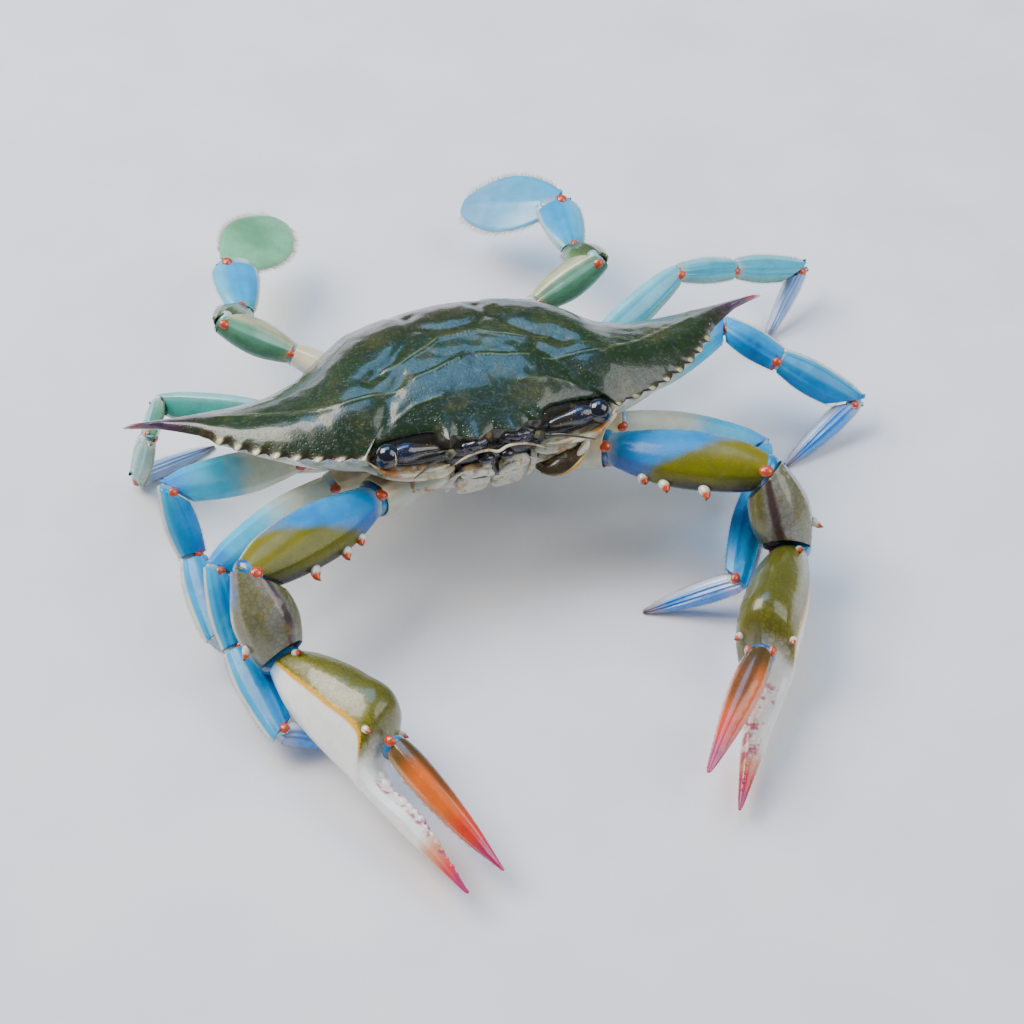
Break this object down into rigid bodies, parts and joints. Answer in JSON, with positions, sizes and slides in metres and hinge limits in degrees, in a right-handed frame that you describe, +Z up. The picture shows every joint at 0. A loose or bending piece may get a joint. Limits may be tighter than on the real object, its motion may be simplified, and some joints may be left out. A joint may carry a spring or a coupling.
{
  "type": "blue swimming crab",
  "caption": "Female blue swimming crab standing in a wide stance, claws held out in front, swimming paddles turned out behind; a still, life-size model.",
  "frame": {"origin": "middle of the floor rectangle that the crab covers, at floor level", "axes": "+Z up; the head looks along -Y; +X is towards the crab's left side"},
  "size_m": [0.175, 0.2071, 0.0449],
  "materials": {
    "olive_shell": "wet gloss, fine pale granules",
    "white_underside": "satin",
    "dark_eye": "high gloss",
    "feeler": "satin",
    "claw_blue": "wet gloss",
    "claw_olive": "wet gloss",
    "finger_red": "wet gloss",
    "leg_blue": "wet gloss",
    "swimmer_green": "wet gloss"
  },
  "bodies": {
    "root": {"carapace": "olive_shell", "sternum": "white_underside", "abdomen": "white_underside", "maxilliped_left": "white_underside", "eye_left": "dark_eye", "antenna_left": "feeler", "claw_base_left": "white_underside", "claw_merus_left": "claw_blue", "claw_carpus_left": "claw_olive", "claw_palm_left": "claw_olive", "claw_dactyl_left": "finger_red", "leg_2_base_left": "white_underside", "leg_2_merus_left": "leg_blue", "leg_2_carpus_left": "leg_blue", "leg_2_propodus_left": "leg_blue", "leg_2_dactyl_left": "leg_blue", "leg_3_base_left": "white_underside", "leg_3_merus_left": "leg_blue", "leg_3_carpus_left": "leg_blue", "leg_3_propodus_left": "leg_blue", "leg_3_dactyl_left": "leg_blue", "leg_4_base_left": "white_underside", "leg_4_merus_left": "swimmer_green", "leg_4_carpus_left": "swimmer_green", "leg_4_propodus_left": "swimmer_green", "leg_4_dactyl_left": "swimmer_green", "swimmer_base_left": "white_underside", "swimmer_merus_left": "swimmer_green", "swimmer_carpus_left": "swimmer_green", "swimmer_propodus_left": "swimmer_green", "swimmer_paddle_left": "swimmer_green", "maxilliped_right": "white_underside", "eye_right": "dark_eye", "antenna_right": "feeler", "claw_base_right": "white_underside", "claw_merus_right": "claw_blue", "claw_carpus_right": "claw_olive", "claw_palm_right": "claw_olive", "claw_dactyl_right": "finger_red", "leg_2_base_right": "white_underside", "leg_2_merus_right": "leg_blue", "leg_2_carpus_right": "leg_blue", "leg_2_propodus_right": "leg_blue", "leg_2_dactyl_right": "leg_blue", "leg_3_base_right": "white_underside", "leg_3_merus_right": "leg_blue", "leg_3_carpus_right": "leg_blue", "leg_3_propodus_right": "leg_blue", "leg_3_dactyl_right": "leg_blue", "leg_4_base_right": "white_underside", "leg_4_merus_right": "swimmer_green", "leg_4_carpus_right": "swimmer_green", "leg_4_propodus_right": "swimmer_green", "leg_4_dactyl_right": "swimmer_green", "swimmer_base_right": "white_underside", "swimmer_merus_right": "swimmer_green", "swimmer_carpus_right": "swimmer_green", "swimmer_propodus_right": "swimmer_green", "swimmer_paddle_right": "swimmer_green"}
  },
  "joints": []
}
